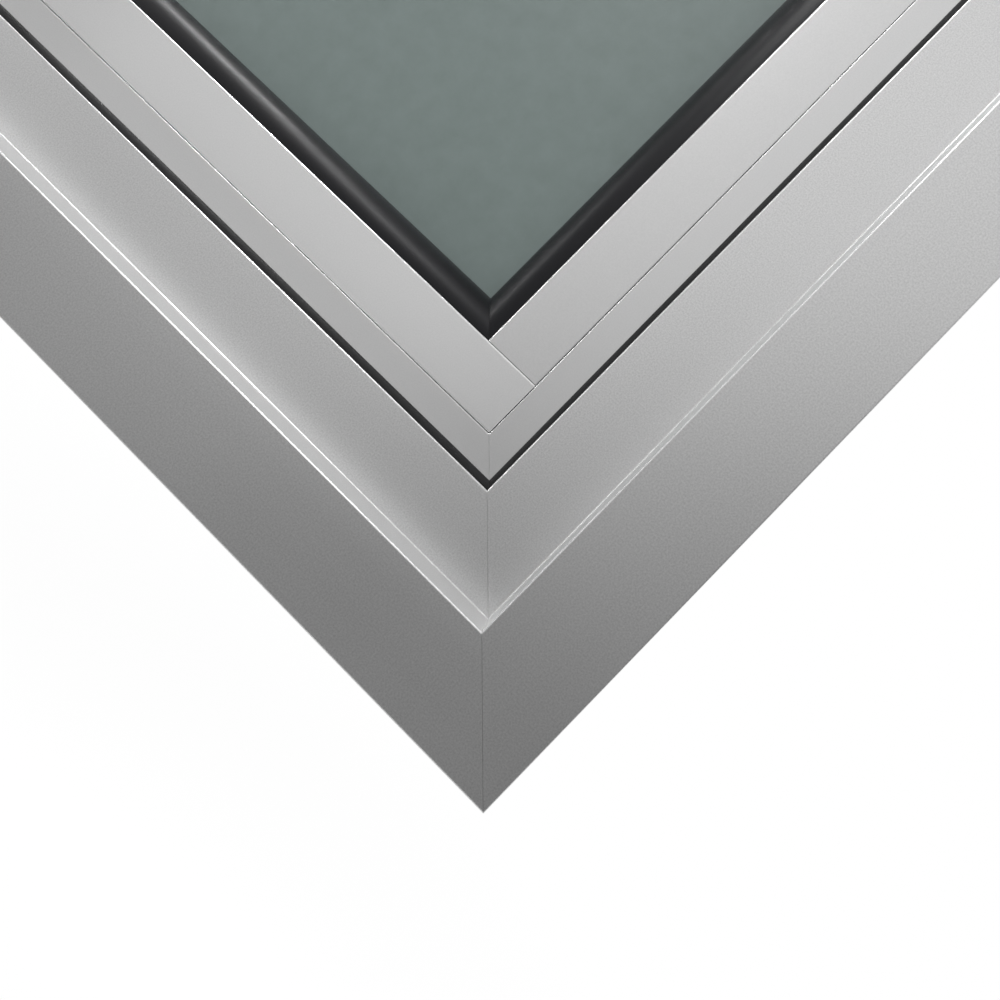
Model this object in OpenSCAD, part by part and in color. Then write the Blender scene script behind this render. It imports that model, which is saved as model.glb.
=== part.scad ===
// Awning window: a top-hung sash in a recessed aluminium frame.
// X runs along the sill, Y from the room to outdoors, Z up. Sections are drawn as [inward, depth]:
// inward from the outer edge of the frame, depth from its room face.

/* [Overall] */
// Overall width of the frame
window_w = 850; // [500:10:1200]
// Overall height of the frame
window_h = 600; // [560:10:1200]

/* [Frame section] */
// Width of the flat room face, and of the box behind it
face_w = 30; // [28:0.5:40]
// Depth of the frame from the room to outdoors
frame_d = 102; // [98:1:130]
// Width of the stop that the sash closes against
stop_w = 26; // [24:0.5:32]
// Thickness of the stop
stop_t = 11.5; // [10:0.5:14]
// Wall thickness of the frame
frame_wall = 1.8; // [1.4:0.1:2.2]
// Radius of the visible edges
edge_r = 0.5; // [0.3:0.1:0.7]
// Radius in the corner of the recess
foot_r = 0.4; // [0.3:0.1:2]
// Play along each member at its corner joints
mitre_play = 0.04; // [0.02:0.01:0.2]
// Width of the groove that holds the seal
slot_w = 5; // [4.5:0.1:6]
// Width of the mouth of that groove
slot_mouth = 2.4; // [2:0.1:3]
// Depth of that groove
slot_d = 5; // [4.5:0.1:6]

/* [Sash section] */
// Space between the frame box and the sash, for the hinge and the stays
hardware_gap = 14; // [13.5:0.1:16]
// Space between the stop and the closed sash, which the seal fills
seal_gap = 2; // [1.6:0.1:3]
// How far the seal shows past the stop
seal_show = 3; // [2:0.1:3.4]
// Width of the sash between the stop and the glazing bead
sash_show = 13.3; // [12.5:0.1:18]
// Depth of the sash
sash_d = 50; // [48:0.5:54]
// Distance from the outdoor face of the closed sash to the outdoor edge of the frame
sash_set = 8.5; // [4:0.5:12]
// Wall thickness of the sash
sash_wall = 1.8; // [1.4:0.1:2.2]
// Thickness of the outdoor plate of the sash
plate_t = 2; // [1.6:0.1:2.4]
// Gap between the outer flange of the sash and the frame
flange_gap = 3; // [2:0.1:5]

/* [Glazing] */
// Face width of the glazing beads
bead_w = 20.7; // [18:0.1:24]
// Wall thickness of the beads
bead_wall = 1.4; // [1.2:0.1:1.8]
// Open joint between bead and sash
bead_joint = 0.15; // [0.1:0.05:0.5]
// Play between two beads where they butt
bead_butt = 0.05; // [0.02:0.01:0.2]
// How far the side beads lie behind the faces of the two that run through
bead_step = 0.3; // [0.1:0.05:0.6]
// Thickness of each pane
pane_t = 4; // [3:0.5:5]
// Space between the panes
pane_gap = 12; // [10:0.5:14]
// Distance from the edge of the glass to the sash
glass_edge = 6; // [4:0.5:7]
// Thickness of the gasket between bead and glass
room_gasket_t = 4; // [3:0.5:5]
// Thickness of the gasket between glass and outdoor plate
outer_gasket_t = 3.5; // [3:0.5:4.5]
// Radius of the round nose of the room gasket, between the bead and the glass
nose_r = 15.2; // [10:0.2:18]

/* [Hinge and stays] */
// Largest opening angle of the sash
open_angle = 35; // [20:1:38]
// Distance from the hinge axis to the outdoor face of the sash
hinge_inset = 11.5; // [11:0.1:13]
// Radius of the round edge of the hinge hook
hook_r = 3; // [2.6:0.1:3.2]
// Running clearance of the hook in its channel
hook_play = 0.1; // [0.06:0.01:0.1]
// Wall thickness of the hinge channel and hook
hinge_wall = 1.8; // [1.5:0.1:2]
// Length of each stay arm between its pivots
stay_arm = 150; // [110:5:180]
// Width of the stay arms
arm_w = 14; // [12:0.5:15]
// Thickness of the stay arms
arm_t = 2; // [1.6:0.1:2.4]
// Depth of the stay tracks
track_t = 6; // [5.5:0.1:6.5]
// Width of the stay tracks
track_w = 15; // [14:0.5:16]
// Radius of the stay pivots
pivot_r = 3; // [2.5:0.1:3.5]
// Running clearance of the stay pivots
pivot_play = 0.06; // [0.04:0.01:0.1]

/* [Handle] */
// Length of the lever from its spindle
lever_len = 95; // [70:1:120]
// Radius of the hub
hub_r = 8; // [7.5:0.1:8.4]
// Length of the handle base
base_len = 60; // [52:1:80]
// Width of the handle base
base_w = 17; // [17:0.5:20]
// Thickness of the striker plate
striker_t = 2.5; // [1.5:0.1:3]
// Thickness of the cam tongue
tongue_t = 5; // [4:0.1:6]
// Radius of the spindle
spindle_r = 3.5; // [3:0.1:4]

/* [Fixings] */
// Radius of the fixing holes through the jambs
fixing_r = 3.25; // [2.5:0.25:4]
// Distance between the two fixing holes of a jamb
fixing_pitch = 400; // [300:10:420]
// Depth of the fixing holes from the room face
fixing_depth = 54; // [50:0.5:58]

/* [Hidden] */
$fn = 48;

silver = [0.74, 0.75, 0.75];
zinc = [0.6, 0.61, 0.62];
black = [0.08, 0.08, 0.085];
green_glass = [0.55, 0.62, 0.6, 0.85];

// Frame section, inward and depth. The recess takes the depth that the stop and the sash leave
recess_d = frame_d - sash_set - sash_d - seal_gap - stop_t;
stop_edge = face_w + stop_w;
stop_back = recess_d + stop_t;
slot_wall = 2;
slot_lip = 1.8;
slot_at = stop_edge - slot_wall - slot_w / 2;
web_depth = (recess_d + frame_d) / 2;

// Sash section
sash_in = face_w + hardware_gap;
bead_in = stop_edge + sash_show;
sash_room = stop_back + seal_gap;
sash_out = sash_room + sash_d;
plate_in = sash_out - plate_t;
sash_web = sash_room + sash_d / 2;
flange_in = face_w + flange_gap;

// Glazing
bead_edge = bead_in + bead_joint + bead_w;
glass_out = plate_in - outer_gasket_t;
glass_room = glass_out - 2 * pane_t - pane_gap;
bead_back = glass_room - room_gasket_t;
glass_in = bead_in + glass_edge;
foot_w = 10;
nose_play = 0.15;
rim_r = 0.4;
bead_nose_r = 0.7;
clip_h = 1.2;
clip_room = sash_room + 12;
clip_play = 0.4;
spacer_in = glass_in + 5;
spacer_w = 7;
mitre_reach = bead_edge + nose_r + 5;

// Hinge axis
hinge_drop = hardware_gap / 2 - 0.8;
hinge_y = sash_out - hinge_inset - frame_d / 2;
hinge_z = window_h - face_w - hinge_drop;
socket_r = hook_r + hook_play + hinge_wall;
hook_neck = 2;
hook_plate_z = sash_in - hinge_wall - face_w - hinge_drop;
hinge_screw_y = -8.5;
hinge_plate_y = -13;
hinge_end = 10;
hinge_len = window_w - 2 * (sash_in + hinge_end);
hinge_screw_count = 7;
hinge_screw_end = 40;
hinge_screw_pitch = (hinge_len - 2 * hinge_screw_end) / (hinge_screw_count - 1);

// Stays: the arm and the hinge to pivot distance are equal, so the slider stays in line with the hinge
pivot_z = hinge_z - stay_arm;
slider_z = hinge_z - 2 * stay_arm;
slider_travel = 2 * stay_arm * (1 - cos(open_angle));
track_base = 1.4;
track_wall = 1.4;
track_lip = 1.2;
track_slot = 7;
track_end = 12;
track_tab = 16;
slider_play = 0.3;
arm_gap = 0.5;
arm_in = face_w + track_t + arm_gap;
bracket_t = 2;
bracket_len = 58;
bracket_low = 8;
bracket_screw_low = 16;
bracket_screw_high = 44;
boss_r = 5;
rivet_head_r = 4.8;
rivet_head_t = 1.4;
slider_neck_r = track_slot / 2 - slider_play;
slider_r = track_w / 2 - track_wall - slider_play;

// Handle on the middle of the bottom rail
base_in = stop_edge + seal_show + 3.5;
handle_z = base_in + base_w / 2;
tongue_play = 0.5;
tongue_back = recess_d - striker_t - tongue_play;
tongue_room = tongue_back - tongue_t;
base_top = tongue_back + 0.4;
lever_t = 7;
lever_room = tongue_room - lever_t - 1;
tongue_over = 13;
tongue_len = handle_z - stop_edge + tongue_over;
spindle_room = lever_room + 3;
base_foot = 5;
base_bevel = 1;
handle_screw_in = bead_in - 4;
handle_screw_x = base_len / 2 - 7;
striker_len = 36;
striker_in = face_w + 5;
striker_w = stop_w - 8;

// Screws
screw_r = 1.7;
screw_play = 0.05;
screw_head_r = 2.9;
screw_head_t = 1.5;
screw_len = 9;
small_screw_r = 1.5;
small_head_r = 2.3;
small_head_t = 1;
head_bevel = 0.4;
cross_w = 0.8;
cross_d = 0.7;

drain_w = 28;
drain_h = 5;
drain_end = 110;
drain_x = window_w / 2 - drain_end;

// Sides of the window, each turned about its middle
function upright(side) = side == "left" || side == "right";
function side_turn(side) = side == "left" ? 0 : side == "bottom" ? -90 : side == "right" ? 180 : 90;
function side_half(side) = upright(side) ? window_w / 2 : window_h / 2;
function side_len(side) = upright(side) ? window_h : window_w;
// X of a distance inward from the right edge, and Y of a depth
function from_right(inward) = window_w / 2 - inward;
function from_room(depth) = depth - frame_d / 2;
// Points along an arc
function arc(c, r, a, b, n = 4) = [for (i = [0:n]) c + r * [cos(a + (b - a) * i / n), sin(a + (b - a) * i / n)]];

module on_side(side) {
  translate([0, -frame_d / 2, window_h / 2])
    rotate([0, side_turn(side), 0])
      translate([-side_half(side), 0, 0])
        children();
}

// Member of a section with 45 degree cuts at both ends
module mitred(side) {
  half = side_len(side) / 2;
  cut = half - mitre_play;
  on_side(side)
    intersection() {
      translate([0, 0, -half])
        linear_extrude(2 * half)
          children();
      translate([0, frame_d + 1, 0])
        rotate([90, 0, 0])
          linear_extrude(frame_d + 2)
            polygon([[-1, -cut - 1], [-1, cut + 1], [mitre_reach, cut - mitre_reach], [mitre_reach, mitre_reach - cut]]);
    }
}

// Member of a section with square ends, each a distance inward from the corner
module square_cut(side, end_in) {
  len = side_len(side) - 2 * end_in;
  on_side(side)
    translate([0, 0, -len / 2])
      linear_extrude(len)
        children();
}

// Section drawn as [Y, Z] and run along X
module along_x(len) {
  rotate([90, 0, 90])
    linear_extrude(len, center = true)
      children();
}

// Round bar along X, along Y or along Z from a point
module bar_x(at, r, len) {
  translate(at)
    rotate([0, 90, 0])
      cylinder(h = len, r = r);
}
module bar_y(at, r, len) {
  translate(at)
    rotate([-90, 0, 0])
      cylinder(h = len, r = r);
}
module bar_z(at, r, len) {
  translate(at)
    cylinder(h = len, r = r);
}

// Screw along Z from the seat of its bevelled head, which has a cross recess
module screw(r, head_r, head_t) {
  difference() {
    union() {
      translate([0, 0, -head_t / 2])
        cylinder(h = screw_len + head_t / 2, r = r);
      rotate_extrude()
        polygon([[0, 0], [head_r, 0], [head_r, head_bevel - head_t], [head_r - head_bevel, -head_t], [0, -head_t]]);
    }
    for (turn = [0, 90])
      rotate(turn)
        translate([-head_r / 2, -cross_w / 2, -head_t - 1])
          cube([head_r, cross_w, cross_d + 1]);
  }
}

// A copy at each of two or four mirrored places
module left_and_right() {
  children();
  mirror([1, 0, 0])
    children();
}
module four_corners() {
  left_and_right() {
    children();
    translate([0, 0, window_h])
      mirror([0, 0, 1])
        children();
  }
}

// Frame
module frame_section() {
  difference() {
    polygon(concat(
      arc([edge_r, edge_r], edge_r, 180, 270),
      arc([face_w - edge_r, edge_r], edge_r, 270, 360),
      arc([face_w + foot_r, recess_d - foot_r], foot_r, 180, 90),
      arc([stop_edge - edge_r, recess_d + edge_r], edge_r, 270, 360),
      arc([stop_edge - edge_r, stop_back - edge_r], edge_r, 0, 90),
      [[slot_at + slot_mouth / 2, stop_back], [slot_at + slot_mouth / 2, stop_back - slot_lip]],
      [[slot_at + slot_w / 2, stop_back - slot_lip], [slot_at + slot_w / 2, stop_back - slot_d]],
      [[slot_at - slot_w / 2, stop_back - slot_d], [slot_at - slot_w / 2, stop_back - slot_lip]],
      [[slot_at - slot_mouth / 2, stop_back - slot_lip], [slot_at - slot_mouth / 2, stop_back]],
      [[face_w, stop_back]],
      arc([face_w - edge_r, frame_d - edge_r], edge_r, 0, 90),
      arc([edge_r, frame_d - edge_r], edge_r, 90, 180)
    ));
    frame_chamber(frame_wall, recess_d);
    frame_chamber(recess_d + frame_wall, web_depth);
    frame_chamber(web_depth + frame_wall, frame_d - frame_wall);
    stop_chamber();
  }
}
module frame_chamber(from, to) {
  translate([frame_wall, from])
    square([face_w - 2 * frame_wall, to - from]);
}
// Hollow of the stop, which steps round the seal groove
module stop_chamber() {
  room = recess_d + frame_wall;
  groove = stop_back - slot_d - frame_wall;
  inner = slot_at - slot_w / 2 - frame_wall;
  polygon([
    [face_w, room], [stop_edge - slot_wall, room], [stop_edge - slot_wall, groove],
    [inner, groove], [inner, stop_back - frame_wall], [face_w, stop_back - frame_wall]
  ]);
}

module frame_head() {
  color(silver)
    difference() {
      mitred("top")
        frame_section();
      along_hinge()
        bar_z([0, 0, window_h - face_w - 1], screw_r + screw_play, frame_wall + 2);
    }
}
module frame_sill() {
  color(silver)
    difference() {
      mitred("bottom")
        frame_section();
      for (x = [-drain_x, drain_x])
        drain_slots(x);
      for (x = [-1, 1])
        bar_y([x * striker_screw_x(), from_room(recess_d) - 1, striker_z()],
          small_screw_r + screw_play, frame_wall + 2);
    }
}
// Water leaves the rebate through a slot in the sill's top and one low in its outdoor face
module drain_slots(x) {
  translate([x - drain_w / 2, from_room(frame_d - frame_wall - 3) - drain_h, face_w - frame_wall - 1])
    cube([drain_w, drain_h, frame_wall + 2]);
  translate([x - drain_w / 2, from_room(frame_d - frame_wall) - 1, frame_wall + 2])
    cube([drain_w, frame_wall + 2, drain_h]);
}
module right_jamb() {
  difference() {
    mitred("right")
      frame_section();
    for (z = [-1, 1])
      bar_x([from_right(face_w + 1), from_room(fixing_depth), window_h / 2 + z * fixing_pitch / 2],
        fixing_r, face_w + 2);
    for (z = track_screws_z())
      bar_x([from_right(face_w + 1), hinge_y, z], screw_r + screw_play, frame_wall + 2);
  }
}
module frame_left_jamb() {
  color(silver)
    mirror([1, 0, 0])
      right_jamb();
}
module frame_right_jamb() {
  color(silver)
    right_jamb();
}

// Pressed corner cleat in a chamber from one depth to another, its legs ribbed
module corner_cleat(inner, outer, from, to, leg) {
  play = 0.25;
  a = inner + play;
  b = outer - play;
  rib = 4;
  translate([window_w / 2, from_room(to - play), 0])
    mirror([1, 0, 0])
      rotate([90, 0, 0])
        linear_extrude(to - from - 2 * play)
          difference() {
            polygon([[a, a], [leg, a], [leg, b], [b, b], [b, leg], [a, leg]]);
            translate([b + rib, a + rib])
              square([leg - b - 2 * rib, b - a - 2 * rib]);
            translate([a + rib, b + rib])
              square([b - a - 2 * rib, leg - b - 2 * rib]);
          }
}
module frame_corner_cleats() {
  leg = 80;
  color(zinc)
    four_corners() {
      corner_cleat(frame_wall, face_w - frame_wall, frame_wall, recess_d, leg);
      corner_cleat(frame_wall, face_w - frame_wall, web_depth + frame_wall, frame_d - frame_wall, leg);
    }
}

// Weather seal: a foot in the groove of the stop, and a lip that the sash presses on and that rounds down to it
module seal_section() {
  play = 0.2;
  lip_from = stop_edge - stop_w / 4;
  lip_t = seal_gap - play;
  polygon(concat(
    [for (a = [0:10:90]) [stop_edge + seal_show * sin(a), stop_back + lip_t * (1 - cos(a))]],
    [[lip_from, stop_back + lip_t], [lip_from, stop_back]],
    [[slot_at - slot_mouth / 2 + play, stop_back], [slot_at - slot_mouth / 2 + play, stop_back - slot_lip - play]],
    [[slot_at - slot_w / 2 + play, stop_back - slot_lip - play]],
    [[slot_at - slot_w / 2 + play, stop_back - slot_d + play]],
    [[slot_at + slot_w / 2 - play, stop_back - slot_d + play]],
    [[slot_at + slot_w / 2 - play, stop_back - slot_lip - play]],
    [[slot_at + slot_mouth / 2 - play, stop_back - slot_lip - play], [slot_at + slot_mouth / 2 - play, stop_back]]
  ));
}
module seal(side) {
  color(black)
    mitred(side)
      seal_section();
}
module head_seal() {
  seal("top");
}
module sill_seal() {
  seal("bottom");
}
module left_seal() {
  seal("left");
}
module right_seal() {
  seal("right");
}

// Hook hinge along the head
module along_hinge() {
  for (i = [0:hinge_screw_count - 1])
    translate([(i - (hinge_screw_count - 1) / 2) * hinge_screw_pitch, hinge_y + hinge_screw_y, 0])
      children();
}
// The mouth of the channel leaves the neck of the hook its swing, with room on both sides
module hinge_channel() {
  mouth = 25;
  reach = 2 * socket_r;
  color(silver)
    difference() {
      translate([0, hinge_y, hinge_z])
        difference() {
          along_x(hinge_len)
            union() {
              circle(r = socket_r);
              translate([hinge_plate_y, hinge_drop - hinge_wall])
                square([socket_r - hinge_plate_y, hinge_wall]);
              translate([-socket_r / 2, 0])
                square([socket_r, hinge_drop]);
            }
          bar_x([-hinge_len / 2 - 1, 0, 0], hook_r + hook_play, hinge_len + 2);
          along_x(hinge_len + 2)
            polygon(concat([[0, 0]], arc([0, 0], reach, -90 - mouth, -90 + mouth + open_angle, 3)));
        }
      along_hinge()
        bar_z([0, 0, window_h - face_w - hinge_wall - 1], screw_r + screw_play, hinge_wall + 2);
    }
}
module hinge_channel_screws() {
  color(zinc)
    along_hinge()
      translate([0, 0, window_h - face_w - hinge_wall])
        screw(screw_r, screw_head_r, screw_head_t);
}
module hinge_hook() {
  plate_end = 4;
  color(silver)
    difference() {
      translate([0, hinge_y, hinge_z])
        along_x(hinge_len)
          union() {
            circle(r = hook_r);
            translate([-hook_neck / 2, -hook_plate_z])
              square([hook_neck, hook_plate_z]);
            translate([hinge_plate_y, -hook_plate_z - hinge_wall])
              square([plate_end - hinge_plate_y, hinge_wall]);
          }
      along_hinge()
        bar_z([0, 0, hinge_z - hook_plate_z - hinge_wall - 1], screw_r + screw_play, hinge_wall + 2);
    }
}
module hinge_hook_screws() {
  color(zinc)
    along_hinge()
      translate([0, 0, hinge_z - hook_plate_z])
        mirror([0, 0, 1])
          screw(screw_r, screw_head_r, screw_head_t);
}

// Stay track on the right jamb: a channel with screw tabs at both ends
function track_from() = slider_z - track_end;
function track_to() = slider_z + slider_travel + track_end;
function track_screws_z() = [track_from() - track_tab / 2, track_to() + track_tab / 2];
module stay_track() {
  len = track_to() - track_from();
  inside = track_t - track_base - track_lip;
  translate([from_right(face_w), hinge_y, 0])
    difference() {
      union() {
        translate([-track_base, -track_w / 2, track_from() - track_tab])
          cube([track_base, track_w, len + 2 * track_tab]);
        translate([-track_t, -track_w / 2, track_from()])
          cube([track_t, track_w, len]);
      }
      translate([-track_base - inside, track_wall - track_w / 2, track_from() - 1])
        cube([inside, track_w - 2 * track_wall, len + 2]);
      translate([-track_t - 1, -track_slot / 2, track_from() - 1])
        cube([track_lip + 2, track_slot, len + 2]);
      for (z = track_screws_z())
        bar_x([-track_base - 1, 0, z], screw_r + screw_play, track_base + 2);
    }
}
module left_stay_track() {
  color(zinc)
    mirror([1, 0, 0])
      stay_track();
}
module right_stay_track() {
  color(zinc)
    stay_track();
}
module stay_track_screws() {
  color(zinc)
    left_and_right()
      for (z = track_screws_z())
        translate([from_right(face_w + track_base), hinge_y, z])
          rotate([0, 90, 0])
            screw(screw_r, screw_head_r, screw_head_t);
}

// Striker plate on the sill's stop, with a lead-in ramp towards the unlatched tongue
function striker_screw_x() = striker_len / 2 - 6;
function striker_z() = striker_in + striker_w / 2;
module striker_plate() {
  thin = 1;
  ramp = 10;
  half = striker_len / 2;
  color(zinc)
    difference() {
      translate([0, from_room(recess_d), striker_in])
        linear_extrude(striker_w)
          polygon([
            [-half, 0], [-half, -thin], [-half + ramp, -striker_t],
            [half - ramp, -striker_t], [half, -thin], [half, 0]
          ]);
      for (x = [-1, 1]) {
        bar_y([x * striker_screw_x(), striker_seat(), striker_z()], small_screw_r + screw_play, striker_t);
        bar_y([x * striker_screw_x(), striker_seat() - striker_t, striker_z()],
          small_head_r + screw_play, striker_t);
      }
    }
}
// The screws of the striker are sunk below its ramps
function striker_seat() = from_room(recess_d) - 0.6;
module striker_screws() {
  color(zinc)
    for (x = [-1, 1])
      translate([x * striker_screw_x(), striker_seat(), striker_z()])
        rotate([-90, 0, 0])
          screw(small_screw_r, small_head_r, small_head_t);
}

// Sash
module sash_section(outer_edge) {
  difference() {
    polygon(concat(
      arc([sash_in + edge_r, sash_room + edge_r], edge_r, 180, 270),
      arc([bead_in - rim_r, sash_room + rim_r], rim_r, 270, 360),
      [[bead_in, clip_room], [bead_in + clip_h, clip_room + clip_h], [bead_in + clip_h, clip_room + 2 * clip_h]],
      [[bead_in, clip_room + 2 * clip_h], [bead_in, plate_in], [bead_edge - edge_r, plate_in]],
      arc([bead_edge - edge_r, sash_out - edge_r], edge_r, 0, 90),
      arc([outer_edge + edge_r, sash_out - edge_r], edge_r, 90, 180),
      [[outer_edge, plate_in], [sash_in, plate_in]]
    ));
    sash_chamber(sash_room + sash_wall, sash_web);
    sash_chamber(sash_web + sash_wall, plate_in);
  }
}
module sash_chamber(from, to) {
  translate([sash_in + sash_wall, from])
    square([bead_in - sash_in - 2 * sash_wall, to - from]);
}
module sash_top_rail() {
  color(silver)
    difference() {
      mitred("top")
        sash_section(sash_in);
      along_hinge()
        bar_z([0, 0, window_h - sash_in - sash_wall - 1], screw_r + screw_play, sash_wall + 2);
    }
}
module sash_bottom_rail() {
  color(silver)
    difference() {
      mitred("bottom")
        sash_section(flange_in);
      for (x = [-1, 1])
        bar_y([x * handle_screw_x, from_room(sash_room) - 1, handle_screw_in],
          small_screw_r + screw_play, sash_wall + 2);
    }
}
// The flange of a stile stops level with the top of the sash, clear of the head
module right_stile() {
  difference() {
    mitred("right")
      sash_section(flange_in);
    translate([from_right(sash_in), from_room(plate_in) - 1, window_h - sash_in])
      cube([sash_in, plate_t + 2, sash_in]);
    for (z = bracket_screws_z())
      bar_x([from_right(sash_in + sash_wall) - 1, hinge_y, z], screw_r + screw_play, sash_wall + 2);
  }
}
module sash_left_stile() {
  color(silver)
    mirror([1, 0, 0])
      right_stile();
}
module sash_right_stile() {
  color(silver)
    right_stile();
}
module sash_corner_cleats() {
  leg = 30;
  color(zinc)
    four_corners()
      corner_cleat(sash_in + sash_wall, bead_in - sash_wall, sash_room + sash_wall, sash_web, bead_in + leg);
}

// Glazing bead: a face, a wall to the glass with a foot for the gasket, and a leg that clips on the sash
module bead_section(face) {
  face_in = bead_in + bead_joint;
  face_back = face + bead_wall;
  leg_in = bead_in + clip_h + clip_play;
  hook_from = clip_room + 2 * clip_h + clip_play;
  hook_to = hook_from + bead_wall;
  polygon(concat(
    arc([face_in + rim_r, face + rim_r], rim_r, 180, 270),
    arc([bead_edge - bead_nose_r, face + bead_nose_r], bead_nose_r, 270, 360),
    [[bead_edge, bead_back], [bead_edge - foot_w, bead_back], [bead_edge - foot_w, bead_back - bead_wall]],
    [[bead_edge - bead_wall, bead_back - bead_wall], [bead_edge - bead_wall, face_back]],
    [[leg_in + bead_wall, face_back], [leg_in + bead_wall, hook_to], [bead_in + clip_play, hook_to]],
    [[bead_in + clip_play, hook_from], [leg_in, hook_from], [leg_in, face_back], [face_in, face_back]]
  ));
}
// The ends of a through bead are notched over the clip rails of the other two members
module through_bead(side) {
  end = side_len(side) / 2 - bead_in - bead_joint;
  notch = clip_h + clip_play - bead_joint;
  color(silver)
    difference() {
      square_cut(side, bead_in + bead_joint)
        bead_section(sash_room);
      on_side(side)
        for (at = [-end - 1, end - notch])
          translate([bead_in, clip_room - clip_play, at])
            cube([bead_w + 1, 2 * (clip_h + clip_play), notch + 1]);
    }
}
module between_bead(side) {
  color(silver)
    square_cut(side, bead_edge + bead_butt)
      bead_section(sash_room + bead_step);
}
module top_bead() {
  through_bead("top");
}
module bottom_bead() {
  through_bead("bottom");
}
module left_bead() {
  between_bead("left");
}
module right_bead() {
  between_bead("right");
}

// Gasket: a flat strip against the glass, with a round nose of a quarter of a circle
module gasket_section(strip_t, nose_at, r) {
  translate([bead_edge - foot_w, -strip_t])
    square([nose_at - bead_edge + foot_w + r / 4, strip_t]);
  translate([nose_at, 0])
    intersection() {
      circle(r = r);
      translate([0, -r])
        square(r);
    }
}
// The strip of the room gasket is under the foot of the bead, and its nose covers the wall of the bead
module room_gasket(side) {
  color(black)
    mitred(side)
      translate([0, glass_room])
        gasket_section(room_gasket_t, bead_edge + nose_play, nose_r);
}
module top_room_gasket() {
  room_gasket("top");
}
module bottom_room_gasket() {
  room_gasket("bottom");
}
module left_room_gasket() {
  room_gasket("left");
}
module right_room_gasket() {
  room_gasket("right");
}
module outer_gasket(side) {
  color(black)
    mitred(side)
      translate([0, glass_out])
        mirror([0, 1])
          gasket_section(outer_gasket_t, bead_edge, outer_gasket_t);
}
module top_outer_gasket() {
  outer_gasket("top");
}
module bottom_outer_gasket() {
  outer_gasket("bottom");
}
module left_outer_gasket() {
  outer_gasket("left");
}
module right_outer_gasket() {
  outer_gasket("right");
}

// Glass unit
module glass_plate(inward, from, to) {
  translate([-from_right(inward), from_room(from), inward])
    cube([2 * from_right(inward), to - from, window_h - 2 * inward]);
}
module glass_ring(outer, inner) {
  difference() {
    glass_plate(outer, glass_room + pane_t, glass_out - pane_t);
    glass_plate(inner, glass_room, glass_out);
  }
}
module inner_pane() {
  color(green_glass)
    glass_plate(glass_in, glass_room, glass_room + pane_t);
}
module outer_pane() {
  color(green_glass)
    glass_plate(glass_in, glass_out - pane_t, glass_out);
}
module spacer_bar() {
  color(zinc)
    glass_ring(spacer_in, spacer_in + spacer_w);
}
module edge_sealant() {
  color(black)
    glass_ring(glass_in, spacer_in);
}
// Two blocks carry the glass unit and one on each stile keeps it in line
module setting_blocks() {
  len = 90;
  block_t = glass_out - glass_room;
  at = window_w / 4 - glass_in / 2;
  color(black) {
    for (x = [-at, at])
      translate([x - len / 2, from_room(glass_room), bead_in])
        cube([len, block_t, glass_edge]);
    left_and_right()
      translate([from_right(glass_in), from_room(glass_room), window_h / 2 - len / 2])
        cube([glass_edge, block_t, len]);
  }
}

// Stay bracket on the right stile: a plate with a boss that carries the pivot of the arm
function bracket_screws_z() = [pivot_z + bracket_screw_low, pivot_z + bracket_screw_high];
module stay_bracket() {
  boss_len = sash_in - bracket_t - arm_in - arm_t - slider_play;
  translate([from_right(sash_in), hinge_y, 0])
    difference() {
      union() {
        translate([0, -arm_w / 2, pivot_z - bracket_low])
          cube([bracket_t, arm_w, bracket_len]);
        bar_x([bracket_t - 0.5, 0, pivot_z], boss_r, boss_len + 0.5);
      }
      bar_x([-1, 0, pivot_z], pivot_r + screw_play, bracket_t + boss_len + 2);
      for (z = bracket_screws_z())
        bar_x([-1, 0, z], screw_r + screw_play, bracket_t + 2);
    }
}
module left_stay_bracket() {
  color(zinc)
    mirror([1, 0, 0])
      stay_bracket();
}
module right_stay_bracket() {
  color(zinc)
    stay_bracket();
}
module stay_bracket_screws() {
  color(zinc)
    left_and_right()
      for (z = bracket_screws_z())
        translate([from_right(sash_in - bracket_t), hinge_y, z])
          rotate([0, -90, 0])
            screw(screw_r, screw_head_r, screw_head_t);
}
// Rivet through boss and arm, with its head past the arm
module pivot_rivet() {
  head = from_right(arm_in - slider_play);
  foot = from_right(sash_in);
  bar_x([foot, hinge_y, pivot_z], pivot_r, head + rivet_head_t / 2 - foot);
  bar_x([head, hinge_y, pivot_z], rivet_head_r, rivet_head_t);
}
module left_pivot_rivet() {
  color(zinc)
    mirror([1, 0, 0])
      pivot_rivet();
}
module right_pivot_rivet() {
  color(zinc)
    pivot_rivet();
}
module stay_arm_bar() {
  inner = from_right(arm_in + arm_t);
  difference() {
    union() {
      translate([inner, hinge_y - arm_w / 2, slider_z])
        cube([arm_t, arm_w, stay_arm]);
      bar_x([inner, hinge_y, slider_z], arm_w / 2, arm_t);
      bar_x([inner, hinge_y, pivot_z], arm_w / 2, arm_t);
    }
    bar_x([inner - 1, hinge_y, pivot_z], pivot_r + pivot_play, arm_t + 2);
    bar_x([inner - 1, hinge_y, slider_z], slider_neck_r + screw_play, arm_t + 2);
  }
}
module left_stay_arm() {
  color(zinc)
    mirror([1, 0, 0])
      stay_arm_bar();
}
module right_stay_arm() {
  color(zinc)
    stay_arm_bar();
}
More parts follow.
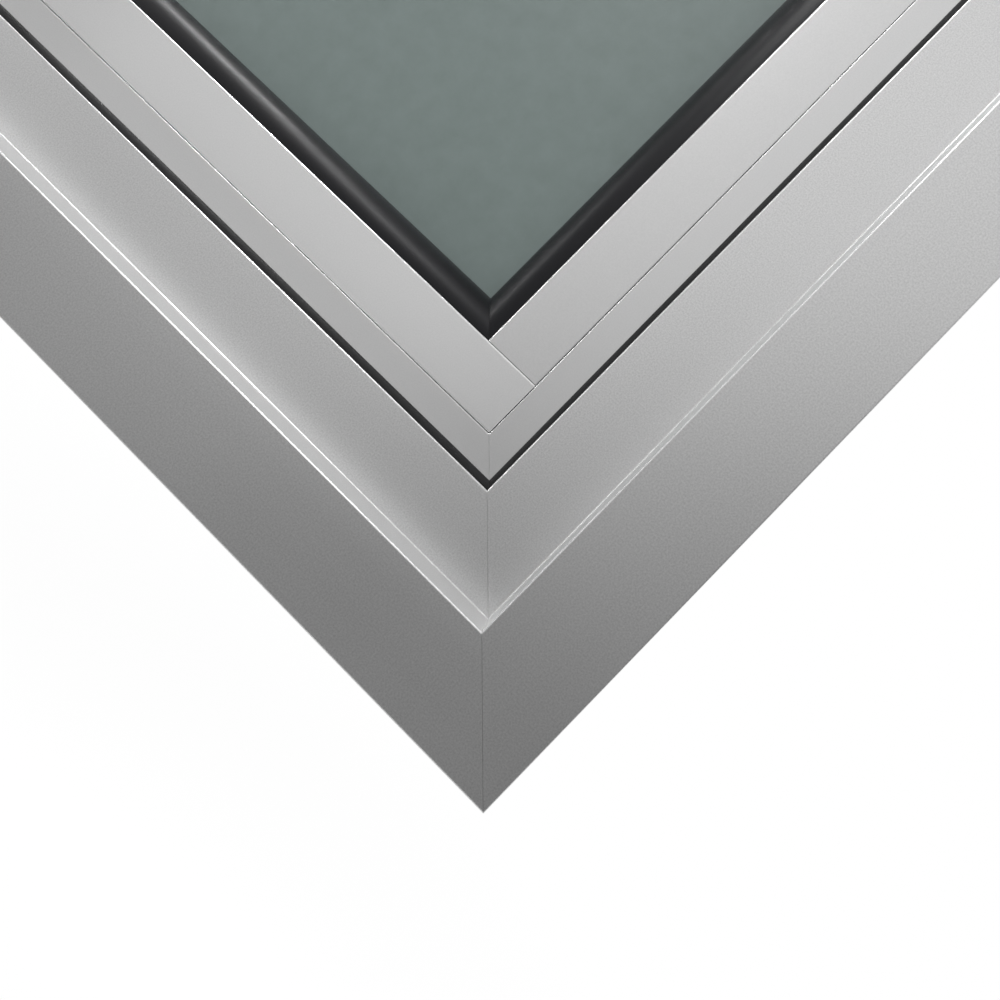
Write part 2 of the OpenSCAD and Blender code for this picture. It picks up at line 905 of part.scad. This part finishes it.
// Round slider: a disc in the track, a neck through its slot and the arm, and a flat head
module stay_slider() {
  disc_from = face_w + track_base + slider_play;
  disc_to = face_w + track_t - track_lip - slider_play;
  head_at = arm_in + arm_t;
  head_t = 1.2;
  neck_from = (disc_from + disc_to) / 2;
  neck_to = head_at + head_t / 2;
  bar_x([from_right(disc_to), hinge_y, slider_z], slider_r, disc_to - disc_from);
  bar_x([from_right(neck_to), hinge_y, slider_z], slider_neck_r, neck_to - neck_from);
  bar_x([from_right(head_at + head_t), hinge_y, slider_z], slider_r - 1, head_t);
}
module left_stay_slider() {
  color(black)
    mirror([1, 0, 0])
      stay_slider();
}
module right_stay_slider() {
  color(black)
    stay_slider();
}

// Handle: a base on the bottom rail, and a lever whose cam tongue turns down over the striker
module on_spindle(depth) {
  translate([0, from_room(depth), handle_z])
    rotate([90, 0, 0])
      children();
}
// Disc about the spindle from one depth to a shallower one, with a bevel round its room face
module bevelled_disc(r, h, bevel) {
  rotate_extrude()
    polygon([[0, 0], [r, 0], [r, h - bevel], [r - bevel, h], [0, h]]);
}
// Plate with round ends along X and the same bevel
module bevelled_plate(len, w, h, bevel) {
  r = w / 2;
  for (x = [-1, 1])
    translate([x * (len / 2 - r), 0, 0])
      bevelled_disc(r, h, bevel);
  along_x(len - w)
    polygon([[-r, 0], [r, 0], [r, h - bevel], [r - bevel, h], [bevel - r, h], [-r, h - bevel]]);
}
module handle_base() {
  on_rail = sash_room - base_foot;
  color(zinc)
    difference() {
      on_spindle(sash_room)
        union() {
          bevelled_plate(base_len, base_w, base_foot, base_bevel);
          bevelled_disc(base_w / 2, sash_room - base_top, base_bevel);
        }
      on_spindle(sash_room + 1)
        cylinder(h = sash_room - base_top + 2, r = spindle_r + pivot_play);
      for (x = [-1, 1]) {
        bar_y([x * handle_screw_x, from_room(on_rail) - 1, handle_screw_in],
          small_screw_r + screw_play, base_foot + 2);
        bar_y([x * handle_screw_x, from_room(on_rail) - 1, handle_screw_in],
          small_head_r + screw_play, screw_head_t + 1);
      }
    }
}
module handle_base_screws() {
  color(zinc)
    for (x = [-1, 1])
      translate([x * handle_screw_x, from_room(sash_room - base_foot + screw_head_t), handle_screw_in])
        rotate([-90, 0, 0])
          screw(small_screw_r, small_head_r, screw_head_t);
}
// The lever thins towards its tip, which leans into the room
module lever_end(up, r, room, t) {
  bevel = 1.4;
  on_spindle(room + t)
    translate([0, up, 0]) {
      translate([0, 0, bevel])
        cylinder(h = t - 2 * bevel, r = r, $fn = 32);
      cylinder(h = t, r = r - bevel, $fn = 32);
    }
}
module handle_lever() {
  tip_r = 5.5;
  tip_t = 5;
  tip_lean = 3;
  tongue_w = 11;
  color(zinc)
    difference() {
      union() {
        hull() {
          lever_end(0, hub_r, lever_room, lever_t);
          lever_end(lever_len - tip_r, tip_r, lever_room - tip_lean, tip_t);
        }
        on_spindle(tongue_back)
          cylinder(h = tongue_back - lever_room - lever_t / 2, r = hub_r - 1);
        on_spindle(tongue_back)
          translate([(tongue_len - tongue_w / 2) / 2, 0, 0])
            bevelled_plate(tongue_len + tongue_w / 2, tongue_w, tongue_t, 1);
      }
      on_spindle(tongue_back + 1)
        cylinder(h = tongue_back + 1 - spindle_room, r = spindle_r + screw_play);
    }
}
module handle_spindle() {
  color(zinc)
    on_spindle(sash_room - 0.3)
      cylinder(h = sash_room - 0.3 - spindle_room, r = spindle_r);
}

frame_head();
frame_sill();
frame_left_jamb();
frame_right_jamb();
frame_corner_cleats();
head_seal();
sill_seal();
left_seal();
right_seal();
hinge_channel();
hinge_channel_screws();
left_stay_track();
right_stay_track();
stay_track_screws();
striker_plate();
striker_screws();
sash_top_rail();
sash_bottom_rail();
sash_left_stile();
sash_right_stile();
sash_corner_cleats();
hinge_hook();
hinge_hook_screws();
top_bead();
bottom_bead();
left_bead();
right_bead();
top_room_gasket();
bottom_room_gasket();
left_room_gasket();
right_room_gasket();
top_outer_gasket();
bottom_outer_gasket();
left_outer_gasket();
right_outer_gasket();
inner_pane();
outer_pane();
spacer_bar();
edge_sealant();
setting_blocks();
left_stay_bracket();
right_stay_bracket();
stay_bracket_screws();
left_pivot_rivet();
right_pivot_rivet();
handle_base();
handle_base_screws();
left_stay_arm();
left_stay_slider();
right_stay_arm();
right_stay_slider();
handle_lever();
handle_spindle();
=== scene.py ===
import math

import bmesh
import bpy
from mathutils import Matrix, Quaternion, Vector


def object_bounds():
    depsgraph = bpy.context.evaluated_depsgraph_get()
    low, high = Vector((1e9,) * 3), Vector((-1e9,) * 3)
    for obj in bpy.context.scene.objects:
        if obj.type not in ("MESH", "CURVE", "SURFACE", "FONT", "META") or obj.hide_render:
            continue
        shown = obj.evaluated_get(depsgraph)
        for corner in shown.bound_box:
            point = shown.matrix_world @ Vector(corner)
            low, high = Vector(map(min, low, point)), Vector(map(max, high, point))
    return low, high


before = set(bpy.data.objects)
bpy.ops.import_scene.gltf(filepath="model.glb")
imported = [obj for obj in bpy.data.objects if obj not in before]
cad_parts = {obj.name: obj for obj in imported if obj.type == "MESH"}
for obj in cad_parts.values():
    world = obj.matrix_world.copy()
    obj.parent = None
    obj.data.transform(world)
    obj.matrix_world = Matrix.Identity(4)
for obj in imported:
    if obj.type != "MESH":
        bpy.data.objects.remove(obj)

cad_low, cad_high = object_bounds()
MM = 0.001

# The camera stands in the room, close to the bottom right corner of the window, and is rolled by
# about 45 degrees, so that this corner points down. Its place counts from that corner of the room
# face.
CORNER = Vector((cad_high.x, cad_low.y, cad_low.z))
CAMERA_AT = CORNER + Vector((-0.03642, -0.16715, 0.05105))
CAMERA_AIM = CORNER + Vector((-0.04913, 0.0, 0.05576))
CAMERA_ROLL = math.radians(44.429)
LENS_MM = 24.831
NEAREST_SEEN = 0.01


def add_camera():
    data = bpy.data.cameras.new("room_camera")
    data.lens = LENS_MM
    data.clip_start = NEAREST_SEEN
    camera = bpy.data.objects.new("room_camera", data)
    camera.location = CAMERA_AT
    look = (CAMERA_AIM - CAMERA_AT).to_track_quat("-Z", "Y")
    camera.rotation_mode = "QUATERNION"
    camera.rotation_quaternion = look @ Quaternion((0, 0, 1), CAMERA_ROLL)
    bpy.context.scene.collection.objects.link(camera)
    bpy.context.scene.camera = camera


def linear(hex_colour):
    """sRGB hex colour as linear RGBA."""
    parts = [int(hex_colour[i:i + 2], 16) / 255 for i in (1, 3, 5)]
    return [c / 12.92 if c <= 0.04045 else ((c + 0.055) / 1.055) ** 2.4 for c in parts] + [1]


def add_node(tree, kind, inputs=None, **settings):
    """Adds a node with its settings. An input is a value, or the output socket that feeds it."""
    made = tree.nodes.new(kind)
    for name, value in settings.items():
        setattr(made, name, value)
    for name, value in (inputs or {}).items():
        if isinstance(value, bpy.types.NodeSocket):
            tree.links.new(value, made.inputs[name])
        else:
            made.inputs[name].default_value = value
    return made


def new_material(name):
    """A material, the tree to build it in, and the Object coordinates that its patterns read."""
    made = bpy.data.materials.new(name)
    made.use_nodes = True
    made.node_tree.nodes.clear()
    place = add_node(made.node_tree, "ShaderNodeTexCoord").outputs["Object"]
    return made, made.node_tree, place


def per_metre(size_mm):
    """Texture scale of a pattern whose features are this wide."""
    return 1 / (size_mm * MM)


def drawn_out(along, share):
    """Scale that draws a pattern out along one axis: a small share gives long lines."""
    return [share if axis == along else 1 for axis in "xyz"]


ETCH_GRAIN_MM = 0.5
ETCH_DEPTH = 0.2 * MM
DIE_LINE_MM = 1.2
DIE_LINE_SHARE = 0.004
GLOSS_CLOUD_MM = 60


def anodised_aluminium(name, along, colour, grain_low):
    """Extruded aluminium, etched and anodised: an even silver satin with a sandy etch grain, and
    faint die lines along the bar, which show in its gloss. The grain is drawn 0.5 mm wide, coarser
    than the real 0.1 mm, so that it shows. grain_low is the share of the colour that is left where
    the etch is darkest."""
    made, tree, place = new_material(name)
    grain = add_node(tree, "ShaderNodeTexNoise", {
        "Vector": place, "Scale": per_metre(ETCH_GRAIN_MM), "Detail": 2.0, "Roughness": 0.6})
    drawn = add_node(tree, "ShaderNodeMapping", {
        "Vector": place, "Scale": drawn_out(along, DIE_LINE_SHARE)})
    die_lines = add_node(tree, "ShaderNodeTexNoise", {
        "Vector": drawn.outputs[0], "Scale": per_metre(DIE_LINE_MM),
        "Detail": 3.0, "Roughness": 0.6})
    cloud = add_node(tree, "ShaderNodeTexNoise", {
        "Vector": place, "Scale": per_metre(GLOSS_CLOUD_MM), "Detail": 1.0})
    level = add_node(tree, "ShaderNodeMath", {
        0: die_lines.outputs[0], 1: cloud.outputs[0]}, operation="ADD")
    roughness = add_node(tree, "ShaderNodeMapRange", {
        "Value": level.outputs[0], "From Min": 0.6, "From Max": 1.4,
        "To Min": 0.30, "To Max": 0.36})
    tint = add_node(tree, "ShaderNodeMapRange", {
        "Value": grain.outputs[0], "From Min": 0.25, "From Max": 0.75,
        "To Min": grain_low, "To Max": 1.0})
    shade = add_node(tree, "ShaderNodeMix", {
        "Factor": 1.0, "A": linear(colour), "B": tint.outputs[0]},
        data_type="RGBA", blend_type="MULTIPLY")
    relief = add_node(tree, "ShaderNodeBump", {
        "Height": grain.outputs[0], "Strength": 0.05, "Distance": ETCH_DEPTH})
    metal = add_node(tree, "ShaderNodeBsdfPrincipled", {
        "Base Color": shade.outputs["Result"], "Metallic": 0.85, "Roughness": roughness.outputs[0],
        "Normal": relief.outputs[0]})
    add_node(tree, "ShaderNodeOutputMaterial", {"Surface": metal.outputs[0]})
    return made


ACID_GRAIN_MM = 0.8
ACID_DEPTH = 0.1 * MM
MOTTLE_MM = 9
GLASS_TINTS = ((0.25, "#95a6a2"), (0.75, "#a0b1ae"))


def satin_glass():
    """Obscure float glass, acid etched and tinted grey-green: a soft, even haze with a faint
    mottle. The grain of the etch is drawn 0.8 mm wide, coarser than the real one, so that it
    shows."""
    made, tree, place = new_material("etched_glass")
    etch = add_node(tree, "ShaderNodeTexNoise", {
        "Vector": place, "Scale": per_metre(ACID_GRAIN_MM), "Detail": 3.0})
    mottle = add_node(tree, "ShaderNodeTexNoise", {
        "Vector": place, "Scale": per_metre(MOTTLE_MM), "Detail": 4.0, "Roughness": 0.65})
    tint = add_node(tree, "ShaderNodeValToRGB", {"Fac": mottle.outputs[0]})
    for stop, (position, colour) in zip(tint.color_ramp.elements, GLASS_TINTS):
        stop.position = position
        stop.color = linear(colour)
    relief = add_node(tree, "ShaderNodeBump", {
        "Height": etch.outputs[0], "Strength": 0.08, "Distance": ACID_DEPTH})
    glass = add_node(tree, "ShaderNodeBsdfPrincipled", {
        "Base Color": tint.outputs[0], "Roughness": 0.42, "IOR": 1.52, "Transmission Weight": 0.25,
        "Normal": relief.outputs[0]})
    add_node(tree, "ShaderNodeOutputMaterial", {"Surface": glass.outputs[0]})
    return made


SKIN_TOOTH_MM = 0.5
SKIN_DEPTH = 0.1 * MM
BLOOM_MM = 12
SHEEN_SPREAD = 0.06


def black_polymer(name, colour, rough):
    """Black rubber, sealant or nylon, extruded or moulded: a soft, dull sheen with a slight bloom,
    and a fine tooth from the die or the mould, drawn 0.5 mm wide so that it shows."""
    made, tree, place = new_material(name)
    tooth = add_node(tree, "ShaderNodeTexNoise", {
        "Vector": place, "Scale": per_metre(SKIN_TOOTH_MM), "Detail": 3.0})
    bloom = add_node(tree, "ShaderNodeTexNoise", {
        "Vector": place, "Scale": per_metre(BLOOM_MM), "Detail": 2.0})
    tint = add_node(tree, "ShaderNodeMapRange", {
        "Value": bloom.outputs[0], "To Min": 0.75, "To Max": 1.25})
    shade = add_node(tree, "ShaderNodeMix", {
        "Factor": 1.0, "A": linear(colour), "B": tint.outputs[0]},
        data_type="RGBA", blend_type="MULTIPLY")
    roughness = add_node(tree, "ShaderNodeMapRange", {
        "Value": tooth.outputs[0], "From Min": 0.3, "From Max": 0.7,
        "To Min": rough - SHEEN_SPREAD, "To Max": rough + SHEEN_SPREAD})
    relief = add_node(tree, "ShaderNodeBump", {
        "Height": tooth.outputs[0], "Strength": 0.08, "Distance": SKIN_DEPTH})
    polymer = add_node(tree, "ShaderNodeBsdfPrincipled", {
        "Base Color": shade.outputs["Result"], "Roughness": roughness.outputs[0], "IOR": 1.52,
        "Specular IOR Level": 0.2, "Normal": relief.outputs[0]})
    add_node(tree, "ShaderNodeOutputMaterial", {"Surface": polymer.outputs[0]})
    return made


SCRATCH_MM = 0.3
SCRATCH_DEPTH = 0.05 * MM
SCRATCH_SHARE = 0.02
GLOSS_SPREAD = 0.08


def brushed_metal(name, along, colour="#b9b8b4", rough=0.32):
    """Stainless steel or mill-finish aluminium, brushed along its length: fine straight scratches
    in colour, gloss and relief, drawn 0.3 mm wide so that they show. The colour and gloss that are
    set here are those of stainless strip."""
    made, tree, place = new_material(name)
    drawn = add_node(tree, "ShaderNodeMapping", {
        "Vector": place, "Scale": drawn_out(along, SCRATCH_SHARE)})
    scratch = add_node(tree, "ShaderNodeTexNoise", {
        "Vector": drawn.outputs[0], "Scale": per_metre(SCRATCH_MM),
        "Detail": 3.0, "Roughness": 0.65})
    tint = add_node(tree, "ShaderNodeMapRange", {
        "Value": scratch.outputs[0], "From Min": 0.3, "From Max": 0.7,
        "To Min": 0.86, "To Max": 1.0})
    shade = add_node(tree, "ShaderNodeMix", {
        "Factor": 1.0, "A": linear(colour), "B": tint.outputs[0]},
        data_type="RGBA", blend_type="MULTIPLY")
    roughness = add_node(tree, "ShaderNodeMapRange", {
        "Value": scratch.outputs[0], "From Min": 0.3, "From Max": 0.7,
        "To Min": rough - GLOSS_SPREAD, "To Max": rough + GLOSS_SPREAD})
    relief = add_node(tree, "ShaderNodeBump", {
        "Height": scratch.outputs[0], "Strength": 0.1, "Distance": SCRATCH_DEPTH})
    metal = add_node(tree, "ShaderNodeBsdfPrincipled", {
        "Base Color": shade.outputs["Result"], "Metallic": 1.0, "Roughness": roughness.outputs[0],
        "Normal": relief.outputs[0]})
    add_node(tree, "ShaderNodeOutputMaterial", {"Surface": metal.outputs[0]})
    return made


ORANGE_PEEL_MM = 1.5
ORANGE_PEEL_DEPTH = 0.2 * MM
METAL_FLAKE_MM = 0.25


def lacquered_die_cast():
    """Zinc die casting with a silver lacquer: a soft metallic sheen, and the slight orange peel of
    sprayed paint. The flakes are drawn 0.25 mm wide, coarser than real ones, so that they show."""
    made, tree, place = new_material("lacquered_die_cast_zinc")
    peel = add_node(tree, "ShaderNodeTexNoise", {
        "Vector": place, "Scale": per_metre(ORANGE_PEEL_MM), "Detail": 1.0})
    flake = add_node(tree, "ShaderNodeTexNoise", {
        "Vector": place, "Scale": per_metre(METAL_FLAKE_MM), "Detail": 1.0})
    tint = add_node(tree, "ShaderNodeMapRange", {
        "Value": flake.outputs[0], "From Min": 0.3, "From Max": 0.7, "To Min": 0.9, "To Max": 1.0})
    shade = add_node(tree, "ShaderNodeMix", {
        "Factor": 1.0, "A": linear("#c3c5c6"), "B": tint.outputs[0]},
        data_type="RGBA", blend_type="MULTIPLY")
    relief = add_node(tree, "ShaderNodeBump", {
        "Height": peel.outputs[0], "Strength": 0.08, "Distance": ORANGE_PEEL_DEPTH})
    lacquer = add_node(tree, "ShaderNodeBsdfPrincipled", {
        "Base Color": shade.outputs["Result"], "Metallic": 0.85, "Roughness": 0.36,
        "Coat Weight": 0.3, "Coat Roughness": 0.25, "Normal": relief.outputs[0]})
    add_node(tree, "ShaderNodeOutputMaterial", {"Surface": lacquer.outputs[0]})
    return made


add_camera()

# The etch is stronger on the frame than on the sash and the beads. The beads that run through are
# painted a little brighter than the bars beside them, though they are the same aluminium: painted
# light from above.
STRONG_ETCH = 0.74
FAINT_ETCH = 0.93
FRAME_SILVER = "#e4e4e4"
SASH_SILVER = "#d8d8d8"
# Painted light: the colour of the top and bottom beads is lifted, as if they were lit from above
PAINTED_LIGHT_BEAD_SILVER = "#e3e3e3"
sill_aluminium = anodised_aluminium(
    "anodised_aluminium_along_sill", "x", FRAME_SILVER, STRONG_ETCH)
jamb_aluminium = anodised_aluminium(
    "anodised_aluminium_along_jamb", "z", FRAME_SILVER, STRONG_ETCH)
rail_aluminium = anodised_aluminium(
    "fine_anodised_aluminium_along_rail", "x", SASH_SILVER, FAINT_ETCH)
stile_aluminium = anodised_aluminium(
    "fine_anodised_aluminium_along_stile", "z", SASH_SILVER, FAINT_ETCH)
# Top and bottom beads: the bead aluminium painted brighter, as painted light from above
painted_light_through_bead_aluminium = anodised_aluminium(
    "painted_light_anodised_aluminium_along_rail", "x", PAINTED_LIGHT_BEAD_SILVER, FAINT_ETCH)
mill_aluminium = brushed_metal("mill_finish_aluminium", "y", colour="#c9cac8", rough=0.42)
gasket_rubber = black_polymer("epdm_gasket", colour="#0f0f14", rough=0.34)
seal_rubber = black_polymer("epdm_seal", colour="#1e1e1f", rough=0.6)
sealant = black_polymer("butyl_sealant", colour="#1a1a1a", rough=0.5)
nylon = black_polymer("moulded_nylon", colour="#222224", rough=0.45)
etched_glass = satin_glass()
track_steel = brushed_metal("stainless_strip_along_jamb", "z")
sill_steel = brushed_metal("stainless_strip_along_sill", "x")
screw_steel = brushed_metal("stainless_screw", "y", colour="#c2c1bd", rough=0.28)
handle_zinc = lacquered_die_cast()

FINISHES = {
    sill_aluminium: ["frame_head", "frame_sill"],
    jamb_aluminium: ["frame_left_jamb", "frame_right_jamb"],
    rail_aluminium: ["sash_top_rail", "sash_bottom_rail", "hinge_channel", "hinge_hook"],
    stile_aluminium: ["sash_left_stile", "sash_right_stile", "left_bead", "right_bead"],
    painted_light_through_bead_aluminium: ["top_bead", "bottom_bead"],
    mill_aluminium: ["frame_corner_cleats", "sash_corner_cleats", "spacer_bar"],
    gasket_rubber: [
        "top_room_gasket", "bottom_room_gasket", "left_room_gasket", "right_room_gasket",
        "top_outer_gasket", "bottom_outer_gasket", "left_outer_gasket", "right_outer_gasket"],
    seal_rubber: ["head_seal", "sill_seal", "left_seal", "right_seal"],
    sealant: ["edge_sealant"],
    nylon: ["setting_blocks", "left_stay_slider", "right_stay_slider"],
    etched_glass: ["inner_pane", "outer_pane"],
    track_steel: [
        "left_stay_track", "right_stay_track", "left_stay_bracket", "right_stay_bracket",
        "left_stay_arm", "right_stay_arm"],
    sill_steel: ["striker_plate", "handle_spindle", "left_pivot_rivet", "right_pivot_rivet"],
    screw_steel: [
        "hinge_channel_screws", "hinge_hook_screws", "stay_track_screws", "stay_bracket_screws",
        "striker_screws", "handle_base_screws"],
    handle_zinc: ["handle_base", "handle_lever"],
}
for finish, names in FINISHES.items():
    for name in names:
        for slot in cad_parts[name].material_slots:
            slot.material = finish

# The window is shown at a height over the floor, as it hangs in a wall. The floor is white behind
# it and painted dark on the room side, a painted shade that stands for a dim room, which the metal
# mirrors. Lengths are in metres.
FLOOR_Z = -0.45
FLOOR_HALF = 8.0
# Painted shade: the room side of the floor is painted dark grey, for a dim room
ROOM_FLOOR_PAINTED_SHADE = "#606060"
PALE_FLOOR = "#fafafa"
PALE_FROM_Y, PALE_AT_Y = -1.0, 0.2
# Share of white in the floor as it is seen: less near the window, where its shadow lies
SHADOW_NEAR, SHADOW_FAR = 0.5, 1.6
WHITE_NEAR, WHITE_FAR = 0.88, 1.0


def add_floor():
    mesh = bpy.data.meshes.new("floor")
    sheet = bmesh.new()
    bmesh.ops.create_grid(sheet, x_segments=1, y_segments=1, size=FLOOR_HALF)
    bmesh.ops.translate(sheet, verts=sheet.verts, vec=(0, 0, FLOOR_Z))
    sheet.to_mesh(mesh)
    sheet.free()
    floor = bpy.data.objects.new("floor", mesh)
    bpy.context.scene.collection.objects.link(floor)
    made, tree, place = new_material("painted_floor")
    axes = add_node(tree, "ShaderNodeSeparateXYZ", {0: place})
    pale = add_node(tree, "ShaderNodeMapRange", {
        "Value": axes.outputs["Y"], "From Min": PALE_FROM_Y, "From Max": PALE_AT_Y},
        interpolation_type="SMOOTHSTEP")
    # Painted shade: the paint turns from dark grey on the room side to white behind the window
    shade = add_node(tree, "ShaderNodeMix", {
        "Factor": pale.outputs[0], "A": linear(ROOM_FLOOR_PAINTED_SHADE), "B": linear(PALE_FLOOR)},
        data_type="RGBA")
    paint = add_node(tree, "ShaderNodeBsdfPrincipled", {
        "Base Color": shade.outputs["Result"], "Roughness": 0.9})
    glow = add_node(tree, "ShaderNodeEmission", {"Color": (1, 1, 1, 1), "Strength": 1.0})
    rays = add_node(tree, "ShaderNodeLightPath")
    seen = add_node(tree, "ShaderNodeMath", {
        0: rays.outputs["Is Camera Ray"], 1: rays.outputs["Is Glossy Ray"]}, operation="MAXIMUM")
    seen = add_node(tree, "ShaderNodeMath", {
        0: seen.outputs[0], 1: rays.outputs["Is Transmission Ray"]}, operation="MAXIMUM")
    share = add_node(tree, "ShaderNodeMath", {
        0: seen.outputs[0], 1: pale.outputs[0]}, operation="MULTIPLY")
    away = add_node(tree, "ShaderNodeVectorMath", {0: place}, operation="LENGTH")
    white = add_node(tree, "ShaderNodeMapRange", {
        "Value": away.outputs["Value"], "From Min": SHADOW_NEAR, "From Max": SHADOW_FAR,
        "To Min": WHITE_NEAR, "To Max": WHITE_FAR})
    share = add_node(tree, "ShaderNodeMath", {
        0: share.outputs[0], 1: white.outputs[0]}, operation="MULTIPLY")
    mixed = add_node(tree, "ShaderNodeMixShader", {
        0: share.outputs[0], 1: paint.outputs[0], 2: glow.outputs[0]})
    add_node(tree, "ShaderNodeOutputMaterial", {"Surface": mixed.outputs[0]})
    mesh.materials.append(made)


# Direction in which the room is dullest, and the level of the sky by how far a view leans to it
DULL_SIDE = (0.63, -0.62, -0.46)
SKY_LEVELS = ((0.08, 0.97), (0.25, 0.84), (0.39, 0.74), (0.5, 0.47), (0.7, 0.25))
# The sky grows duller to the left of the room, and turns white behind the window
LEFT_FROM_X, LEFT_AT_X, LEFT_LEVEL = -0.3, -0.95, 0.6
WHITE_FROM_Y, WHITE_AT_Y = 0.2, 0.5


def add_sky():
    """White behind the window, dull towards the low right of the room, and less so on the left."""
    world = bpy.data.worlds.new("studio")
    world.use_nodes = True
    tree = world.node_tree
    tree.nodes.clear()
    towards = add_node(tree, "ShaderNodeTexCoord").outputs["Generated"]
    axes = add_node(tree, "ShaderNodeSeparateXYZ", {0: towards})
    lean = add_node(tree, "ShaderNodeVectorMath", {
        0: towards, 1: DULL_SIDE}, operation="DOT_PRODUCT")
    light = add_node(tree, "ShaderNodeValToRGB", {"Fac": lean.outputs["Value"]})
    stops = light.color_ramp.elements
    stops[0].position = SKY_LEVELS[0][0]
    stops[1].position = SKY_LEVELS[-1][0]
    for position, _ in SKY_LEVELS[1:-1]:
        stops.new(position)
    for stop, (_, level) in zip(stops, SKY_LEVELS):
        stop.color = (level, level, level, 1)
    left = add_node(tree, "ShaderNodeMapRange", {
        "Value": axes.outputs["X"], "From Min": LEFT_AT_X, "From Max": LEFT_FROM_X,
        "To Min": LEFT_LEVEL, "To Max": 1.0})
    room = add_node(tree, "ShaderNodeMath", {
        0: light.outputs[0], 1: left.outputs[0]}, operation="MULTIPLY")
    behind = add_node(tree, "ShaderNodeMapRange", {
        "Value": axes.outputs["Y"], "From Min": WHITE_FROM_Y, "From Max": WHITE_AT_Y})
    strength = add_node(tree, "ShaderNodeMath", {
        0: room.outputs[0], 1: behind.outputs[0]}, operation="MAXIMUM")
    sky = add_node(tree, "ShaderNodeBackground", {
        "Color": (1, 1, 1, 1), "Strength": strength.outputs[0]})
    add_node(tree, "ShaderNodeOutputWorld", {"Surface": sky.outputs[0]})
    bpy.context.scene.world = world


BEAM = math.radians(60)


def add_softbox(name, at, aim, width, height, watts):
    """A flat lamp with a narrow beam, which the camera doesn't see."""
    data = bpy.data.lights.new(name, "AREA")
    data.shape = "RECTANGLE"
    data.size = width
    data.size_y = height
    data.energy = watts
    data.spread = BEAM
    lamp = bpy.data.objects.new(name, data)
    lamp.location = at
    lamp.rotation_mode = "QUATERNION"
    lamp.rotation_quaternion = (Vector(aim) - Vector(at)).to_track_quat("-Z", "Y")
    lamp.visible_camera = False
    bpy.context.scene.collection.objects.link(lamp)


add_floor()
add_sky()
# Two thin strips graze the room face and light the recess and the gaskets, from above and from the
# left. A soft front lamp fills in, and a weak low one lifts the left of the sill.
add_softbox("overhead_softbox", at=(-0.3, -0.1, 1.3), aim=(0.3, -0.04, 0.0),
            width=0.02, height=1.2, watts=2.8)
add_softbox("left_softbox", at=(-1.0, -0.22, 0.3), aim=(0.4, -0.03, 0.2),
            width=0.03, height=1.0, watts=0.5)
add_softbox("front_softbox", at=(-0.4, -0.65, 1.24), aim=(0.35, -0.02, 0.1),
            width=0.6, height=0.3, watts=0.45)
add_softbox("low_softbox", at=(-0.45, -1.0, -0.25), aim=(0.25, -0.05, 0.03),
            width=0.8, height=0.3, watts=0.014)
bpy.context.scene.view_settings.view_transform = "Standard"
